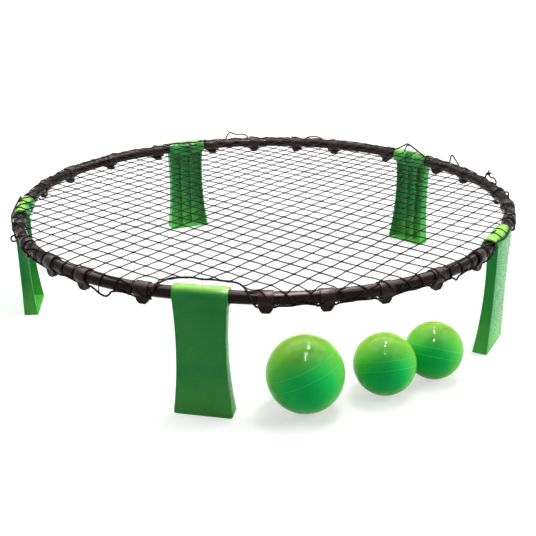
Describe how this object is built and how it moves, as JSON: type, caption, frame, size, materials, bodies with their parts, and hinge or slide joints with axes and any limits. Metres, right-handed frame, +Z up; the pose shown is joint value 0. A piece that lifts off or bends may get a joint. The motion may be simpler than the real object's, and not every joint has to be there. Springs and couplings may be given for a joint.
{
  "type": "roundnet set",
  "caption": "Round net stretched over a plugged tube ring on fold-in channel legs, with hollow play balls standing under its rim.",
  "frame": {"origin": "on the ground under the centre of the ring", "axes": "+Z up, -Y towards the front leg, +X to the right when the front leg is nearest"},
  "size_m": [0.926, 0.9349, 0.2256],
  "materials": {
    "rim_tube": "glossy black-brown moulded tube",
    "hook_collar": "satin black-brown moulding",
    "cord": "dull black twisted cord",
    "leg": "satin green moulding",
    "ball": "glossy green, yellower towards the top",
    "ball_valve": "dull dark green plug"
  },
  "bodies": {
    "ring": {"rim_tube_front_right": "rim_tube", "rim_tube_right": "rim_tube", "rim_tube_back": "rim_tube", "rim_tube_left": "rim_tube", "rim_tube_front_left": "rim_tube", "net_hook_front_right_1": "hook_collar", "net_hook_front_right_2": "hook_collar", "net_hook_front_right_3": "hook_collar", "net_hook_front_right_4": "hook_collar", "net_hook_front_right_5": "hook_collar", "net_hook_right_1": "hook_collar", "net_hook_right_2": "hook_collar", "net_hook_right_3": "hook_collar", "net_hook_right_4": "hook_collar", "net_hook_right_5": "hook_collar", "net_hook_back_1": "hook_collar", "net_hook_back_2": "hook_collar", "net_hook_back_3": "hook_collar", "net_hook_back_4": "hook_collar", "net_hook_back_5": "hook_collar", "net_hook_left_1": "hook_collar", "net_hook_left_2": "hook_collar", "net_hook_left_3": "hook_collar", "net_hook_left_4": "hook_collar", "net_hook_left_5": "hook_collar", "net_hook_front_left_1": "hook_collar", "net_hook_front_left_2": "hook_collar", "net_hook_front_left_3": "hook_collar", "net_hook_front_left_4": "hook_collar", "net_hook_front_left_5": "hook_collar", "net": "cord", "edge_cord": "cord"},
    "leg_front": {"leg_front": "leg"},
    "leg_right": {"leg_right": "leg"},
    "leg_back_right": {"leg_back_right": "leg"},
    "leg_back_left": {"leg_back_left": "leg"},
    "leg_left": {"leg_left": "leg"},
    "ball_1": {"ball_1": "ball", "ball_1_valve": "ball_valve"},
    "ball_2": {"ball_2": "ball", "ball_2_valve": "ball_valve"},
    "ball_3": {"ball_3": "ball", "ball_3_valve": "ball_valve"}
  },
  "joints": [
    {"name": "leg_front_fold", "type": "hinge", "parent": "ring", "child": "leg_front", "pos_m": [0, -0.44594, 0.194], "axis": [1, 0, 0], "range_deg": [0, 90]},
    {"name": "leg_right_fold", "type": "hinge", "parent": "ring", "child": "leg_right", "pos_m": [0.42411, -0.1378, 0.194], "axis": [0.309, 0.9511, 0], "range_deg": [0, 90]},
    {"name": "leg_back_right_fold", "type": "hinge", "parent": "ring", "child": "leg_back_right", "pos_m": [0.26212, 0.36077, 0.194], "axis": [-0.809, 0.5878, 0], "range_deg": [0, 90]},
    {"name": "leg_back_left_fold", "type": "hinge", "parent": "ring", "child": "leg_back_left", "pos_m": [-0.26212, 0.36077, 0.194], "axis": [-0.809, -0.5878, 0], "range_deg": [0, 90]},
    {"name": "leg_left_fold", "type": "hinge", "parent": "ring", "child": "leg_left", "pos_m": [-0.42411, -0.1378, 0.194], "axis": [0.309, -0.9511, 0], "range_deg": [0, 90]},
    {"name": "ball_1_roll_out", "type": "slide", "parent": "ring", "child": "ball_1", "axis": [0.3371, -0.9415, 0], "range_m": [0, 0.25]},
    {"name": "ball_2_roll_out", "type": "slide", "parent": "ring", "child": "ball_2", "axis": [0.6119, -0.791, 0], "range_m": [0, 0.25]},
    {"name": "ball_3_roll_out", "type": "slide", "parent": "ring", "child": "ball_3", "axis": [0.7763, -0.6304, 0], "range_m": [0, 0.25]}
  ]
}
